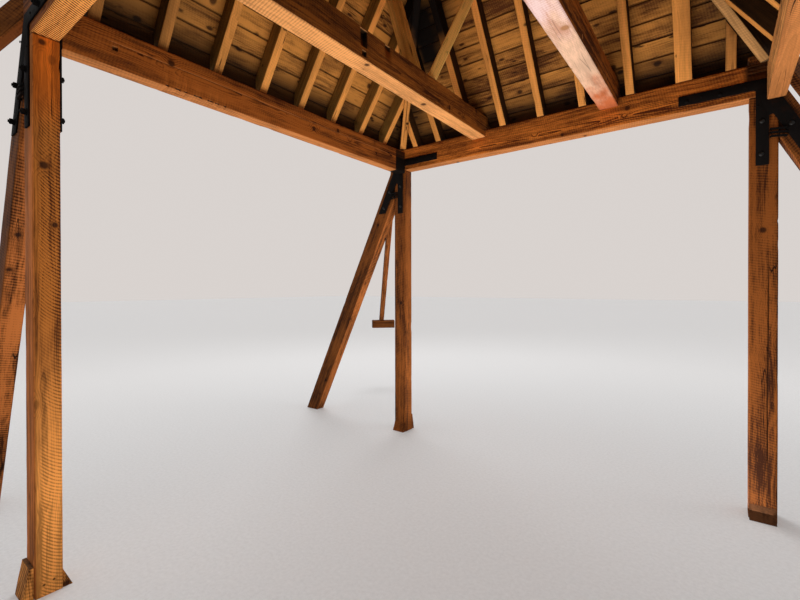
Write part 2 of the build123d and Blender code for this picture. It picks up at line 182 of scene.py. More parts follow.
def dim(tint, share):
    """A colour made darker, or brighter with a share above 1."""
    return [c * share for c in tint]


def operator(name, reflected=False):
    """A method that adds one Math node."""
    def method(self, other):
        return self.shader.maths(name, *((other, self) if reflected else (self, other)))
    return method


class Socket:
    """A shader socket that arithmetic can be written with. Each operator adds one node."""

    __add__, __radd__ = operator("ADD"), operator("ADD", True)
    __sub__, __rsub__ = operator("SUBTRACT"), operator("SUBTRACT", True)
    __mul__, __rmul__ = operator("MULTIPLY"), operator("MULTIPLY", True)
    __truediv__, __rtruediv__ = operator("DIVIDE"), operator("DIVIDE", True)
    __pow__ = operator("POWER")

    def __init__(self, shader, socket):
        self.shader, self.socket = shader, socket

    def __abs__(self):
        return self.shader.maths("ABSOLUTE", self)


class Shader:
    """One material's node tree."""

    def __init__(self, name, owner=None):
        self.material = owner or bpy.data.materials.new(name)
        self.material.use_nodes = True
        self.tree = self.material.node_tree
        self.surface = self.tree.nodes.get("Principled BSDF")

    def feed(self, socket, value):
        """Links a socket, or sets it."""
        if isinstance(value, Socket):
            self.tree.links.new(value.socket, socket)
        elif hasattr(socket.default_value, "__len__"):
            value = list(value) if hasattr(value, "__len__") else [value] * 3
            socket.default_value = (value + [1.0])[:len(socket.default_value)]
        else:
            socket.default_value = value

    def node(self, kind, settings=(), inputs=(), output=0):
        """Any node: its settings first, then its inputs by name or identifier."""
        made = self.tree.nodes.new(kind)
        for key, value in dict(settings).items():
            setattr(made, key, value)
        for key, value in dict(inputs).items():
            self.feed(next(s for s in made.inputs if key in (s.identifier, s.name)), value)
        if isinstance(output, int):
            return Socket(self, made.outputs[output])
        return Socket(self, next(s for s in made.outputs if output in (s.identifier, s.name)))

    def maths(self, operation, *operands):
        """Math on values, Vector Math as soon as one of them is a vector or a colour."""
        wide = any(x.socket.type in ("VECTOR", "RGBA") if isinstance(x, Socket) else hasattr(x, "__len__")
                   for x in operands)
        made = self.tree.nodes.new("ShaderNodeVectorMath" if wide else "ShaderNodeMath")
        made.operation = operation
        for socket, value in zip(made.inputs, operands):
            self.feed(socket, value)
        return Socket(self, next(out for out in made.outputs if out.enabled))

    def join(self, x, y, z):
        return self.node("ShaderNodeCombineXYZ", (), {"X": x, "Y": y, "Z": z})

    def split(self, vector):
        made = self.tree.nodes.new("ShaderNodeSeparateXYZ")
        self.feed(made.inputs[0], vector)
        return [Socket(self, out) for out in made.outputs]

    def attribute(self, name, output):
        return self.node("ShaderNodeAttribute", {"attribute_name": name}, (), output)

    def noise(self, vector, detail=2.0, rough=0.5, output="Fac"):
        return self.node("ShaderNodeTexNoise", (),
                         {"Vector": vector, "Scale": 1.0, "Detail": detail, "Roughness": rough}, output)

    def step(self, value, low, high, out_low=0.0, out_high=1.0):
        """A smooth step from low to high."""
        return self.node("ShaderNodeMapRange", {"interpolation_type": "SMOOTHSTEP"},
                         {"Value": value, "From Min": low, "From Max": high,
                          "To Min": out_low, "To Max": out_high})

    def fall(self, value, low, high):
        """A smooth step down from 1 to 0."""
        return self.step(value, low, high, 1.0, 0.0)

    def mix(self, share, first, second):
        return self.node("ShaderNodeMix", {"data_type": "RGBA", "clamp_factor": True},
                         {"Factor_Float": share, "A_Color": first, "B_Color": second}, "Result_Color")

    def finish(self, base, rough, height, deep, **fixed):
        """Feeds the surface shader. Anything in fixed is a plain number on the shader's own socket."""
        bump = self.node("ShaderNodeBump", (), {"Height": height, "Strength": 1.0, "Distance": deep})
        for key, value in {"Base_Color": base, "Roughness": rough, "Normal": bump, **fixed}.items():
            self.feed(self.surface.inputs[key.replace("_", " ")], value)
        return self.material


def timber(name, light, dark, under=None, blush=None, saw=0.5, slant=0.2, bow=0.0, plain=None, unsawn=None,
           rings=0.5, spread=0.25, streaks=1.0, side_streaks=0.0, flecks=0.9, checks=1.0, knots=0.5,
           knot_scale=(0.5, 6.0), heart=1.0, core_tint=None, placed=(), edge=0.10, facing=2, flanks=1.0,
           bands=(), along=()):
    """Sawn softwood. Its coordinates are the mesh attribute grain: across, through and along the timber,
    from the pith. Other attributes give the place across it, each piece's tone, its arrises, the painted
    shade and the ends. Under is a colour for faces that look down, or forward with facing 1, painted lighter
    for the light that falls on them, and blush its dark streaks. Bands are colours by height, and along by
    the distance to the rear. Saw, rings, streaks, flecks, checks and knots say how strong each mark is, and
    flanks what part of the saw marks the sides keep. Plain and unsawn say where the saw marks start and stop,
    across and by height. Edge is how much the arrises darken: wear on timbers, and on the boards also painted
    shade in the seams."""
    s = Shader(name)
    p = looks()
    x, y, z = s.split(s.attribute("grain", "Vector"))
    side, tone, arris, soot, end = (s.attribute(key, "Fac")
                                    for key in ("side", "tone", "arris", "soot", "end"))
    here = s.node("ShaderNodeTexCoord", (), (), "Object")
    _, rearward, height = s.split(here)

    def drawn_out(across, lengthwise, detail=2.0, rough=0.5, output="Fac", place=(x, y)):
        """Noise with one scale across the grain and another along it."""
        return s.noise(s.join(place[0] * across, place[1] * across, z * lengthwise), detail, rough, output)

    wander = s.split(drawn_out(1.6, 0.7, output="Color"))
    bent = [value + (shift - 0.5) * 0.09 for value, shift in zip((x, y), wander)]
    radius = s.maths("SQRT", bent[0] * bent[0] + bent[1] * bent[1])
    # Knots grow outwards from the pith, so their place is a direction and a height.
    turn, rise = knot_scale
    toward = s.join(x / radius * turn, y / radius * turn, z * rise)
    knot = s.node("ShaderNodeTexVoronoi", {"feature": "F1"},
                  {"Vector": toward, "Scale": 1.0, "Randomness": 1.0}, "Distance")
    core = s.fall(knot, 0.06 * heart, 0.12 * heart) * min(1.0, knots * 2)
    for px, py, pz, wide in placed:
        apart = s.maths("DISTANCE", here, (px, py, pz)) * (0.09 / wide)
        knot = s.maths("MINIMUM", knot, apart)
        core = s.maths("MAXIMUM", core, s.fall(apart, 0.05, 0.12))
    swell = s.fall(knot, 0.0, 0.34)
    late = s.maths("FRACT", (radius + swell * 0.016) / p.ring) ** 2.2
    streak = drawn_out(42, 1.1, 3.0, 0.6, place=bent)
    blotch = drawn_out(7, 2.2)
    fibre = drawn_out(620, 16)
    fleck = drawn_out(105, 17, 3.0, 0.65, place=bent)
    # Marks of the saw run across the grain in slanting or bowed lines.
    line = (z + side * slant + side * side * bow + (drawn_out(9, 9, 1.0) - 0.5) * 0.010) / p.saw_pitch
    wave = 1.0 - (s.maths("SINE", line * (2 * pi)) * 0.5 + 0.5) ** 1.6 * 2.0
    marks = wave * s.step(drawn_out(5, 3.0, 1.0), 0.32, 0.52, 0.35, 1.0) * (1.0 - swell) * -saw
    if plain:
        marks = marks * s.step(side, *plain)
    if unsawn:
        marks = marks * s.fall(height, *unsawn)
    if under is not None:
        # Faces that look down, or forward with facing 1, take the under colour: painted light from below or
        # from the front.
        way = s.split(s.node("ShaderNodeNewGeometry", (), (), "True Normal"))[facing]
        faced = s.fall(way, -0.40, -0.25)
        marks = marks * (faced * (1.0 - flanks) + flanks)
    check = s.fall(abs(drawn_out(17, 0.55, 1.0, 0.4) - 0.5), 0.0015, 0.0050)
    check = check * s.step(blotch, 0.52, 0.6) * checks
    shade = (streak - 0.5) * (2.4 * streaks) + (blotch - 0.5) * (spread * 5) + (late - 0.3) * rings * 0.8
    shade = shade + (fibre - 0.5) * 0.7 + (fleck - 0.5) * flecks + marks * 0.34 + swell * knots * 0.35
    if side_streaks:
        shade = shade + (streak - 0.5 + (fleck - 0.5) * 0.5) * (1.0 - faced) * side_streaks
    shade = shade - tone * 0.22 + 0.45
    pale, deep = light, dark
    for start, stop, tint in bands:
        share = s.step(height, start, stop) if stop > start else s.fall(height, stop, start)
        pale, deep = s.mix(share, pale, tint), s.mix(share, deep, dim(tint, 0.42))
    base = s.mix(shade, pale, deep)
    if under is not None:
        shaded = blush or [a * 0.55 + b * 0.25 for a, b in zip(under, dark)]
        below = s.mix(shade + marks * 0.2, under, shaded)
        reach = rearward + (drawn_out(11, 4.5, 3.0, 0.6) - 0.5) * 1.1
        for start, stop, tint in along:
            below = s.mix(s.step(reach, start, stop), below, s.mix(shade, tint, dim(tint, 0.66)))
        base = s.mix(faced, base, below)
    base = s.mix(end * 0.8, base, s.mix(late + (fibre - 0.5), p.end_grain, dim(p.end_grain, 0.45)))
    # Arrises darker: wear on timbers, and on the boards, with a strong edge, also painted shade in the seams
    # between them.
    base = s.mix(arris * edge, base, dim(dark, 0.25))
    base = s.mix(core * 0.85, base, core_tint or dim(dark, 0.35))
    base = s.mix(check * 0.9, base, dim(dark, 0.15))
    # Painted shade: near black where the roof, cracks, hollows and joints lie in shade.
    base = s.mix(soot, base, (0.006, 0.003, 0.0015))
    relief = fibre * 0.25 - marks * 0.45 - late * 0.3 - check * 3.0 + core * 0.4
    rough = 0.75 + (streak - 0.5) * 0.2 + late * 0.08
    return s.finish(base, rough, relief, 0.0011, Specular_IOR_Level=0.12)


def iron(name, tint, rough=0.85, metal=0.0, gloss=0.12):
    """Forged iron: blackened, with hammer marks and a breath of rust."""
    s = Shader(name)
    here = s.node("ShaderNodeTexCoord", (), (), "Object")
    dent = s.noise(here * 38.0)
    grit = s.noise(here * 420.0, 3.0, 0.6)
    rust = s.step(s.noise(here * 9.0, 4.0, 0.65), 0.56, 0.74)
    base = s.mix(rust * 0.35, s.mix(dent, dim(tint, 0.7), dim(tint, 1.4)), (0.030, 0.012, 0.006))
    return s.finish(base, rough + (grit - 0.5) * 0.25 + rust * 0.15, dent * 0.8 + grit * 0.2, 0.0015,
                    Metallic=metal, Specular_IOR_Level=gloss)


def timbers():
    """What sets each kind of timber apart."""
    p = looks()
    posts = {"light": p.post_light, "dark": p.post_dark, "knots": 0.25, "knot_scale": (0.4, 3.5)}
    frames = {"light": p.frame_light, "dark": p.frame_dark, "under": p.frame_under}
    beams = {"light": p.beam_light, "dark": p.beam_dark, "slant": 0.15, "placed": BEAM_KNOTS, "checks": 0.4,
             "flecks": 1.6, "flanks": 0.3}
    # Rafters' undersides are painted lit and their sides painted in shade; the left slope's copy has its
    # sides painted lit.
    rafters = {"under": p.rafter_light, "saw": 0.15, "streaks": 0.7}
    return {
        "post": dict(posts, placed=POST_KNOTS, saw=0.6, flecks=1.6, spread=0.42),
        # The near post's forward face is painted lighter, for the light that falls on it from the front.
        "near_post": dict(posts, light=p.near_light, dark=p.near_dark, under=p.near_edge, facing=1,
                          blush=dim(p.near_edge, 0.35), placed=NEAR_KNOTS, saw=1.35, slant=1.57, bow=-4.4,
                          plain=(0.035, 0.060), unsawn=(2.42, 2.62),
                          bands=((1.5, 0.3, p.near_foot), (2.35, 2.7, p.near_head))),
        "cleat": dict(light=p.cleat_light, dark=dim(p.cleat_light, 0.4), saw=0.2),
        "near_cleat": dict(light=p.near_foot, dark=p.near_dark, saw=0.4),
        "tie": dict(light=p.tie_light, dark=p.tie_dark, under=p.frame_under, saw=0.3, rings=1.3,
                    placed=PLATE_KNOTS, checks=0.0, flecks=1.4),
        "frame": dict(frames, saw=0.3, rings=0.9, spread=0.45, placed=PLATE_KNOTS),
        "sawn_frame": dict(frames, under=p.sawn_under, blush=p.frame_dark, saw=1.8, slant=0.6, rings=0.4,
                           flecks=1.4),
        "waney": dict(light=p.waney_light, dark=dim(p.waney_light, 0.3), under=p.frame_under, saw=0.9,
                      rings=0.8, flecks=1.6),
        "strut": dict(light=p.strut_light, dark=p.strut_dark, under=p.strut_under, blush=p.strut_dark,
                      rings=0.3, flecks=1.4, spread=0.4, placed=STRUT_KNOTS),
        "beam": dict(beams, under=p.beam_under, saw=0.7, rings=0.7, spread=0.4),
        "pale_beam": dict(beams, under=p.beam_pale, blush=p.beam_blush, saw=0.4, rings=0.25, spread=0.7,
                          streaks=0.4, side_streaks=2.6, core_tint=(0.40, 0.17, 0.06),
                          along=((-0.1, 0.5, p.beam_cream), (0.75, 1.45, p.beam_stain))),
        "rafter": dict(rafters, light=p.rafter_side, dark=dim(p.rafter_side, 0.35)),
        "lit_side_rafter": dict(rafters, light=p.olive_side, dark=dim(p.olive_side, 0.35)),
        "prop": dict(light=p.prop_light, dark=dim(p.prop_light, 0.5), under=p.prop_under,
                     blush=dim(p.prop_under, 0.7), saw=0.3, streaks=0.7),
        "hip": dict(light=p.rafter_side, dark=dim(p.rafter_side, 0.35), under=p.hip_under, saw=0.3,
                    streaks=1.2, flecks=1.4),
        # The boards' strong edge darkening is painted shade in the seams between boards, beside worn edges.
        "board": dict(light=p.board_light, dark=p.board_dark, saw=0.2, rings=0.4, spread=0.5, streaks=0.6,
                      knots=0.9, knot_scale=(1.6, 6.0), edge=0.6, heart=1.6),
    }


MATERIALS = {}


def material(name):
    """The material of that name, made when it is first asked for."""
    if name not in MATERIALS:
        if name == "wrought_iron":
            MATERIALS[name] = iron(name, looks().iron)
        elif name == "bolt_iron":
            MATERIALS[name] = iron(name, looks().bolt, 0.5, 0.6, 0.4)
        else:
            MATERIALS[name] = timber(f"{name}_timber", **timbers()[name])
    return MATERIALS[name]


def once(items):
    """The items without repeats, in the order they come in, so that every run gives the same mesh."""
    return list(dict.fromkeys(items))


def only(kind, items):
    """The vertices, the edges or the faces among mixed elements."""
    return [item for item in items if isinstance(item, kind)]


def is_bent(edge, degrees):
    """Whether two faces meet at an edge by more than an angle."""
    return len(edge.link_faces) == 2 and edge.calc_face_angle(0) > radians(degrees)


def runs_along(edge, direction, share):
    """Whether an edge lies along a direction, either way, as near as a cosine."""
    return abs((edge.verts[0].co - edge.verts[1].co).normalized().dot(direction)) > share


def bevel(bm, edges, width, segments=1, clamp=False):
    """Bevels some edges and gives the vertices that this makes."""
    return bmesh.ops.bevel(bm, geom=edges, offset=width, offset_type="OFFSET", segments=segments,
                           affect="EDGES", profile=0.5, material=-1, clamp_overlap=clamp)["verts"]


def cut(bm, normal, places):
    """Cuts every face along planes across the normal, leaving the shape as it is."""
    for place in places:
        bmesh.ops.bisect_plane(bm, geom=bm.verts[:] + bm.edges[:] + bm.faces[:], dist=1e-6,
                               plane_co=normal * place, plane_no=normal)


def trim(bm, point, normal):
    """Cuts off what lies beyond a plane and closes the cut."""
    if not bm.verts:
        return
    made = bmesh.ops.bisect_plane(bm, geom=bm.verts[:] + bm.edges[:] + bm.faces[:], dist=1e-6,
                                  plane_co=point, plane_no=normal, clear_outer=True)
    edges = [e for e in only(BMEdge, made["geom_cut"]) if e.is_boundary]
    if edges:
        bmesh.ops.holes_fill(bm, edges=edges, sides=0)


def merged_copy(node):
    """A CAD node's mesh as a bmesh, its loose triangles merged back into flat faces."""
    bm = bmesh.new()
    bm.from_mesh(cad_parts[node].data)
    bmesh.ops.remove_doubles(bm, verts=bm.verts, dist=1e-5)
    bmesh.ops.dissolve_limit(bm, angle_limit=radians(0.5), verts=bm.verts, edges=bm.edges)
    bmesh.ops.recalc_face_normals(bm, faces=bm.faces)
    return bm


def absorb(joined, bm):
    """Moves one bmesh into another."""
    mesh = bpy.data.meshes.new("absorbed")
    bm.to_mesh(mesh)
    bm.free()
    joined.from_mesh(mesh)
    bpy.data.meshes.remove(mesh)


def add_object(name, data):
    """A new object in the scene."""
    made = bpy.data.objects.new(name, data)
    bpy.context.scene.collection.objects.link(made)
    return made


def make_piece(name, bm, material_name, nodes, smooth=40):
    """Puts a bmesh into the scene as a piece that stands for CAD nodes."""
    mesh = bpy.data.meshes.new(name)
    bmesh.ops.recalc_face_normals(bm, faces=bm.faces)
    for face in bm.faces:
        face.smooth = True
    bm.to_mesh(mesh)
    bm.free()
    mesh.set_sharp_from_angle(angle=radians(smooth))
    mesh.materials.append(material(material_name))
    piece = add_object(name, mesh)
    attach(piece, "root")
    if nodes:
        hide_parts(*nodes)


def islands(bm):
    """The separate solids of a bmesh, each as its vertices, in an order that follows from their places."""
    for rank, vert in enumerate(sorted(bm.verts, key=lambda v: tuple(round(c, 5) for c in v.co))):
        vert.index = rank
    bm.verts.sort()
    seen, found = set(), []
    for start in bm.verts:
        if start in seen:
            continue
        seen.add(start)
        group = [start]
        for vert in group:  # the list grows by the neighbours that are new
            fresh = [e.other_vert(vert) for e in vert.link_edges if e.other_vert(vert) not in seen]
            seen.update(fresh)
            group += fresh
        found.append(sorted(group, key=lambda v: v.index))
    return sorted(found, key=lambda g: tuple(round(c, 3) for c in min(tuple(v.co) for v in g)))


def soften(bm, grain, width):
    """Bevels the arrises that run with the grain."""
    bevel(bm, [e for e in bm.edges if is_bent(e, 30) and runs_along(e, grain, 0.985)], width, clamp=True)


def nearness(point, centre, radius, strength=1.6):
    """1 about a centre, falling to 0 at a radius."""
    return min(1.0, max(0.0, strength - strength * (point - Vector(centre)).length / radius))


def painted_shade_at(point):
    """How black a point of the roof is painted for shade, from 0 to 1."""
    return max(black * nearness(point, centre, radius) for centre, radius, black in PAINTED_SHADE_SPOTS)


def rafter_painted_shade(point):
    """The same for rafters and hips, which are painted black for shade further up behind the props."""
    behind = ((-0.69, 0.93, 3.95), (-0.86, 0.84, 4.02))
    return max(painted_shade_at(point), *(nearness(point, centre, 0.34, 1.7) for centre in behind))


def board_painted_shade(point):
    """The same for boards, which are also painted dark for shade down at the eaves and low in the rear left
    corner.
    """
    eaves = min(1.0, max(0.0, (3.36 - point.z) / 0.12))
    return max(painted_shade_at(point), 0.85 * eaves, 0.8 * nearness(point, (-1.36, 1.36, 3.34), 0.40))


def divide(bm, grain, across, step, strip, crack):
    """Cuts solids into narrow strips beside their arrises and a crack, and into steps along the grain."""
    for axis in (across, grain.cross(across).normalized()):
        marks = set()
        for group in islands(bm):
            reach = [v.co.dot(axis) for v in group]
            low, high = min(reach), max(reach)
            if high - low > 3 * strip:
                marks |= {round(low + strip, 4), round(high - strip, 4)}
        if crack and abs(axis.dot(crack["axis"])) > 0.9:
            way = axis.dot(crack["axis"])
            lip = crack["wide"] / 2
            marks |= {way * (crack["at"] + d) for d in (-lip - CRACK_SIDE, -lip, 0, lip, lip + CRACK_SIDE)}
        cut(bm, axis, sorted(marks))
    reach = [v.co.dot(grain) for v in bm.verts]
    low, span = min(reach), max(reach) - min(reach)
    count = int(span / step) + 1
    cut(bm, grain, [low + (i + 0.5) * span / count for i in range(count)])
    bmesh.ops.recalc_face_normals(bm, faces=bm.faces)
    bm.normal_update()


def weather(bm, grain, across, rng, step, wear, pith=0.03, crack=None, chips=1.0, soot=None, strip=0.013,
            vary=1.0, bias=0.0, bites=(), lid=0.3):
    """Turns clean solids into seasoned timbers: arrises worn and chipped, faces a little uneven, and the
    attributes that the timber materials read. What faces up more than lid stays free of painted shade. A bite
    is a place on an arris, half its length and its depth."""
    divide(bm, grain, across, step, strip, crack)
    axes = (across, grain.cross(across).normalized(), grain)
    grain_layer = bm.verts.layers.float_vector.new("grain")
    side_layer, tone_layer, arris_layer, soot_layer = (bm.verts.layers.float.new(key)
                                                       for key in ("side", "tone", "arris", "soot"))
    end_layer = bm.faces.layers.float.new("end")
    for face in bm.faces:
        face[end_layer] = 1.0 if abs(face.normal.dot(grain)) > 0.55 else 0.0
    for group in islands(bm):
        reach = [[v.co.dot(axis) for v in group] for axis in axes]
        middle = [(min(r) + max(r)) / 2 for r in reach]
        span = max(reach[2]) - min(reach[2])
        away = Vector((rng.uniform(-pith, pith), rng.uniform(-pith, pith), rng.uniform(-4, 4)))
        tone = bias + rng.uniform(-vary, vary)
        sharp = {v: any(is_bent(e, 25) for e in v.link_edges) for v in group}
        edge_verts = [v for v in group if sharp[v]]
        eaten = list(bites)
        for _ in range(int(chips * span / 0.5)):
            start = rng.choice(edge_verts).co.copy()
            eaten.append((start, rng.uniform(0.015, 0.06), rng.uniform(0.2, 1.0) ** 2 * wear * 2.6))
        moves = []
        for v in group:
            place = Vector([v.co.dot(axis) - m for axis, m in zip(axes, middle)])
            v[grain_layer] = place + away
            v[side_layer] = place.x + place.y
            v[tone_layer] = tone
            v[arris_layer] = float(sharp[v])
            v[soot_layer] = soot(v.co) if soot and v.normal.z < lid else 0.0
            local = place * Vector((6, 6, 1.6)) + away
            sunk = UNEVEN * (0.5 + noise.noise(local))
            if sharp[v]:
                fine = place * Vector((20, 20, 9)) + away
                sunk += wear * (0.35 + 0.65 * max(0.0, noise.noise(fine)) + 0.25 * noise.noise(local * 2.2))
            for start, long, deep in eaten:
                gap = v.co - start
                along = gap.dot(grain)
                aside = (gap - grain * along).length
                if abs(along) < long and aside < BITE_REACH:
                    sunk += deep * (1 - (along / long) ** 2) * (1 - aside / BITE_REACH)
            moves.append((v, v.normal * -max(0.0, sunk)))
        for v, move in moves:
            v.co += move
        if crack:
            open_crack(group, crack, grain, away.z, soot_layer)


def open_crack(group, crack, grain, seed, soot_layer):
    """Opens a drying crack along one face, painted dark inside for shade, wandering a little and closing at
    both ends.
    """
    low, high = crack["span"]
    for v in group:
        off = v.co.dot(crack["axis"]) - crack["at"]
        along = v.co.dot(grain)
        if (abs(off) > crack["wide"] + CRACK_SIDE or not low < along < high
                or v.normal.dot(crack["face"]) < 0.7):
            continue
        taper = min(1.0, (along - low) / 0.25, (high - along) / 0.25)
        depth = crack["deep"] * taper * (0.7 + 0.5 * noise.noise(Vector((along * 3.0, seed, 0))))
        v.co += crack["axis"] * (0.004 * noise.noise(Vector((along * 2.0, 5, seed))))
        if abs(off) < crack["wide"] / 4:
            v.co -= crack["face"] * depth
            v[soot_layer] = max(v[soot_layer], 0.9 * taper)


def notch(bm, side, low, high, deep):
    """Sinks the part of one face that lies between two corners."""
    axes = [axis for axis in (X, Y, Z) if abs(side.dot(axis)) < 0.5]
    for axis in axes:
        cut(bm, axis, [low.dot(axis), high.dot(axis)])
    bm.normal_update()
    level = (low + high).dot(side) / 2
    faces = []
    for face in bm.faces:
        centre = face.calc_center_median()
        if (face.normal.dot(side) > 0.9 and abs(centre.dot(side) - level) < 0.002
                and all(low.dot(axis) < centre.dot(axis) < high.dot(axis) for axis in axes)):
            faces.append(face)
    made = bmesh.ops.extrude_face_region(bm, geom=faces)["geom"]
    bmesh.ops.delete(bm, geom=faces, context="FACES_ONLY")
    bmesh.ops.translate(bm, vec=side * -deep, verts=only(BMVert, made))


def worn_timber(node, grain, across, material_name, slot="frame_timber", step=0.03, wear=None, width=0.0,
                planes=(), notches=(), rings=(), levels=(), **weathering):
    """A weathered copy of a CAD node whose solids all run along one direction. Width is the arrises' bevel.
    Each plane, a point and an outward normal, takes off what lies beyond it. Rings and levels are extra
    cuts to carry a shade."""
    bm = merged_copy(node)
    cut(bm, grain, rings)
    cut(bm, Z, levels)
    for point, normal in planes:
        trim(bm, point, normal)
    for place in notches:
        notch(bm, *place)
    if width:
        soften(bm, grain, width)
    weather(bm, grain, across, random.Random(f"{looks().seed} {node}"), step,
            looks().wane if wear is None else wear, **weathering)
    make_piece(f"{node}_worn", bm, material_name, [node])


def slope_axes(name):
    """Along the eaves, up the slope, and out through the boards."""
    inward, _ = SLOPES[name]
    up = inward * cos(PITCH) + Z * sin(PITCH)
    out = -inward * sin(PITCH) + Z * cos(PITCH)
    return (X if name in ("rear", "front") else Y), up, out


def hip_axes(corner):
    """Up a hip towards the ridge, and across it."""
    x_side, y_side = CORNERS[corner]
    return Vector((-x_side, -y_side, tan(PITCH))).normalized(), Vector((x_side, -y_side, 0)).normalized()


class Build(bpy.types.Operator):
    """What every operator here shares"""

    bl_options = {"REGISTER"}

    def execute(self, context):
        self.build()
        return {"FINISHED"}


class ROOFFRAME_OT_posts(Build):
    """Sawn posts with worn arrises, one with a drying crack"""

    bl_idname = "roofframe.posts"
    bl_label = "Posts"

    def build(self):
        crack = {"axis": X, "at": 1.575, "wide": 0.010, "deep": 0.016, "span": (0.25, 1.85), "face": -Y}
        for corner in CORNERS:
            # A thin band at each post's head is painted near black, a painted shadow where the post meets the
            # tie.
            worn_timber(f"post_{corner}", Z, X, "near_post" if corner == "front_left" else "post",
                        step=0.02, pith=0.05, chips=1.4, crack=crack if corner == "rear_right" else None,
                        rings=(TIE_FOOT - 0.0035,), soot=lambda here: 0.95 * (here.z > TIE_FOOT - 0.005))


class ROOFFRAME_OT_ties(Build):
    """Tie beams and side plates"""

    bl_idname = "roofframe.ties"
    bl_label = "Ties and plates"

    # Bites in the left plate's lower arris: where along it, and half the length
    nibbles = ((-0.965, 0.010), (-0.900, 0.020), (-0.850, 0.012), (-0.775, 0.032), (-0.690, 0.024),
               (-0.640, 0.018), (-0.585, 0.010))

    def build(self):
        # The rear tie is notched at its right end, where the hip comes down on it, and painted dark there for
        # the shade.
        grooves = [(-Y, Vector((1.468, TRUSS_IN, z)), Vector((1.60, TRUSS_IN, z + 0.008)), 0.009)
                   for z in (3.022, 3.046, 3.070)]
        worn_timber("tie_beam_rear", X, Y, "tie", pith=0.06, notches=grooves, levels=(2.970, 2.988), lid=0.8,
                    soot=lambda here: 0.85 * (here.x > 1.455 and here.z > 2.98 and here.y < 1.53))
        worn_timber("tie_beam_front", X, Y, "sawn_frame", pith=0.06)
        crack = {"axis": Z, "at": 2.975, "wide": 0.005, "deep": 0.010, "span": (-1.3, 1.2), "face": X}
        worn_timber("side_plate_left", Y, X, "frame", crack=crack, chips=6.0, soot=self.plate_painted_shade,
                    bites=[(Vector((PLATE_IN_LEFT, y, PLATE_FOOT)), long, 0.012) for y, long in self.nibbles],
                    rings=[y + long * k for y, long in self.nibbles for k in (-1, -0.6, 0, 0.6, 1)]
                    + [PLATE_SHADED_FROM - 0.007, PLATE_SHADED_FROM + 0.005], levels=(PLATE_FOOT + 0.018,))
        # The right plate's lower inner arris is waney: it falls away more and more towards the front.
        far = Vector((PLATE_IN_RIGHT, TRUSS_IN, PLATE_FOOT))
        wane = Vector((0.075, -3, 0)).cross(Vector((0, -3, 0.09))).normalized()
        worn_timber("side_plate_right", Y, X, "waney", width=0.004, planes=[(far, wane)])

    def plate_painted_shade(self, here):
        """Painted shadow in the bitten wood, and painted shade on the rear end in the dark behind the post's
        head.
        """
        if here.y > PLATE_SHADED_FROM:
            return 1.0 if here.z < 2.9755 else 0.86
        bitten = here.x > PLATE_IN_LEFT - 0.0025 and here.z < PLATE_FOOT + 0.014
        return float(bitten and any(abs(here.y - y) < long * 0.8 for y, long in self.nibbles))


class ROOFFRAME_OT_beams(Build):
    """Cross beams whose undersides are painted pale for the light from below"""

    bl_idname = "roofframe.beams"
    bl_label = "Cross beams"

    # Old mortises in the left beam's inner side: along it, foot, width, height and depth
    mortises = ((-0.240, 3.104, 0.062, 0.110, 0.040), (-0.226, 3.046, 0.042, 0.036, 0.022),
                (0.000, 3.184, 0.052, 0.034, 0.012))

    def build(self):
        slots = [(X, Vector((BEAM_IN_LEFT, y, z)), Vector((BEAM_IN_LEFT, y + wide, z + high)), deep)
                 for y, z, wide, high, deep in self.mortises]
        worn_timber("cross_beam_left", Y, X, "beam", "beam_timber", pith=0.05, chips=1.5, notches=slots,
                    soot=self.beam_painted_shade)
        worn_timber("cross_beam_right", Y, X, "pale_beam", "beam_timber", pith=0.05, chips=0.4)

    def beam_painted_shade(self, here):
        """Painted shade, dark inside the mortises, and a side painted darker towards the front."""
        inside = BEAM_IN_LEFT - 0.010
        if inside - 0.050 < here.x < inside and abs(here.y) < 0.3 and 3.04 < here.z < 3.222:
            return 0.95
        return 0.30 * min(1.0, max(0.0, (0.35 - here.y) / 0.7)) if here.x > inside and here.z > 3.035 else 0.0


class ROOFFRAME_OT_struts(Build):
    """Raking struts in the plane of each truss"""

    bl_idname = "roofframe.struts"
    bl_label = "Raking struts"

    def build(self):
        for corner, (x_side, _) in CORNERS.items():
            grain = Vector((-x_side * cos(STRUT_RAKE), 0, sin(STRUT_RAKE)))
            # Where the strut meets the post, a thin line is painted near black, a painted shadow in the
            # joint.
            worn_timber(f"raking_strut_{corner}", grain, Y, "strut", width=0.004, pith=0.06,
                        soot=lambda here: 0.9 * (abs(abs(here.x) - BOARDS_OUT) < 0.003))


class ROOFFRAME_OT_lower_hips(Build):
    """Lower hips and the blocks they stand on"""

    bl_idname = "roofframe.lower_hips"
    bl_label = "Lower hips and seats"

    def build(self):
        for corner in CORNERS:
            hip, across = hip_axes(corner)
            worn_timber(f"lower_hip_{corner}", hip, across, "strut", "lower_roof_timber", width=0.004)
            worn_timber(f"hip_seat_{corner}", across, Z, "strut", "lower_roof_timber", width=0.004, step=0.02)


class ROOFFRAME_OT_rafters(Build):
    """Common and jack rafters of the four slopes"""

    bl_idname = "roofframe.rafters"
    bl_label = "Rafters"

    def build(self):
        for name in SLOPES:
            across, up, _ = slope_axes(name)
            # The left slope's rafters take a copy whose sides are painted lit.
            worn_timber(f"rafters_{name}", up, across, "lit_side_rafter" if name == "left" else "rafter",
                        "rafter_timber", step=0.06, width=0.003, wear=0.0015, pith=0.09, chips=0.6, vary=1.5,
                        soot=rafter_painted_shade if name in ("rear", "left") else None)


